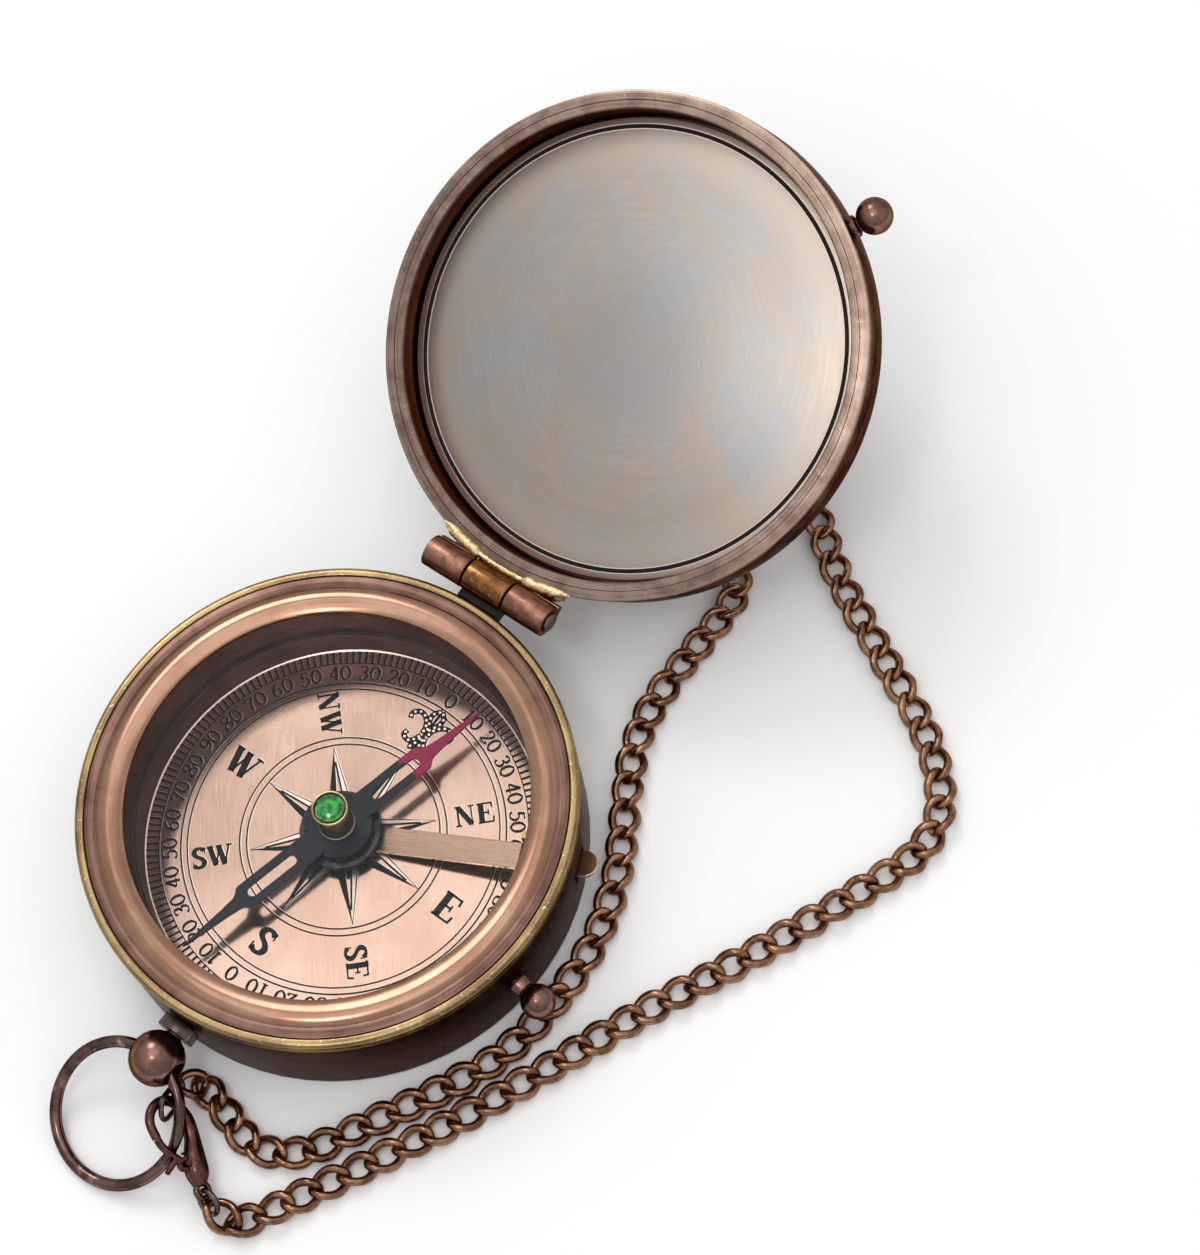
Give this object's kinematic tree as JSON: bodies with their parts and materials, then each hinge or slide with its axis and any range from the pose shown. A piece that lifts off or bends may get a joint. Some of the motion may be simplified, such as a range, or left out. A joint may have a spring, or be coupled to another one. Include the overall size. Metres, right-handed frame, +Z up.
{
  "type": "pocket magnetic compass",
  "caption": "Round pocket compass with a hinged lid, a needle on a pivot, a needle lock lever, a bow ring and a curb chain with a lobster clasp.",
  "frame": {"origin": "centre of the case's flat base, on the table", "axes": "+Z up along the case and needle axis; +X towards the lid hinge; -X towards the bow"},
  "size_m": [0.1192, 0.0761, 0.036],
  "materials": {
    "dark_copper": "dark antique copper, worn satin",
    "copper": "polished copper, lightly aged",
    "dial_copper": "brushed copper with black-filled engraving",
    "worn_brass": "worn brass",
    "mauve_copper": "grey-mauve patinated copper, satin",
    "patina_silver": "silvered plate with a warm patina",
    "black_steel": "blackened steel; the needle's north arm is painted red",
    "coppered_steel": "coppered steel wire, polished",
    "antique_copper": "antique copper wire",
    "clear_glass": "clear flat glass",
    "green_stone": "green faceted stone"
  },
  "bodies": {
    "case": {"case_body": "dark_copper", "rim_band": "worn_brass", "case_liner": "mauve_copper", "dial_plate": "dial_copper", "spacer_ring": "dark_copper", "crystal": "clear_glass", "bezel_ring": "copper", "pivot_post": "worn_brass", "lever_pin": "black_steel", "lever_bracket": "worn_brass", "case_knuckle": "worn_brass", "hinge_pin": "copper", "case_knob": "copper", "bow_collar": "mauve_copper", "bow_ball": "copper", "chain_run_1": "antique_copper", "chain_run_2": "antique_copper", "chain_run_3": "antique_copper", "chain_run_4": "antique_copper", "chain_run_5": "antique_copper", "chain_run_6": "antique_copper", "chain_run_7": "antique_copper"},
    "lid": {"lid_shell": "dark_copper", "lid_plate": "patina_silver", "lid_knob": "copper", "lid_leaf": "worn_brass", "lid_knuckle_left": "copper", "lid_knuckle_right": "copper"},
    "lever": {"lock_lever": "worn_brass"},
    "lifter": {"lifting_ring": "black_steel"},
    "needle": {"needle_blade": "black_steel", "needle_cap": "worn_brass", "jewel_setting": "worn_brass", "jewel": "green_stone"},
    "bow": {"bow_ring": "coppered_steel", "clasp_body": "dark_copper", "clasp_gate_pin": "worn_brass", "clasp_spring": "black_steel", "jump_ring": "coppered_steel", "chain_end_link": "antique_copper"},
    "gate": {"clasp_gate": "dark_copper"}
  },
  "joints": [
    {"name": "lid_hinge", "type": "hinge", "parent": "case", "child": "lid", "pos_m": [0.0274, 0, 0.01295], "axis": [0, 1, 0], "range_deg": [-153.7, 0]},
    {"name": "lever_rock", "type": "hinge", "parent": "case", "child": "lever", "pos_m": [0.0077, -0.0177, 0.00555], "axis": [0.9171, 0.3987, 0], "range_deg": [0, 4.01]},
    {"name": "ring_lift", "type": "slide", "parent": "case", "child": "lifter", "axis": [0, 0, 1], "range_m": [0, 0.0011]},
    {"name": "needle_spin", "type": "hinge", "parent": "case", "child": "needle", "pos_m": [0, 0, 0.00574], "axis": [0, 0, 1], "continuous": true},
    {"name": "bow_swing", "type": "hinge", "parent": "case", "child": "bow", "pos_m": [-0.0291, 0, 0.0065], "axis": [0.1392, 0.9903, 0], "range_deg": [0, 30], "deforming": ["chain_run_1", "chain_run_7"]},
    {"name": "gate_hinge", "type": "hinge", "parent": "bow", "child": "gate", "pos_m": [-0.03558, -0.0079, 0.00384], "axis": [-0.3988, 0.5554, -0.7298], "range_deg": [0, 6], "stiffness_Nm_per_rad": 0.0002, "springref_deg": -28.65}
  ],
  "couplings": [
    {"joint": "lever_rock", "follows": "ring_lift", "rad_per_m": 63.5}
  ]
}
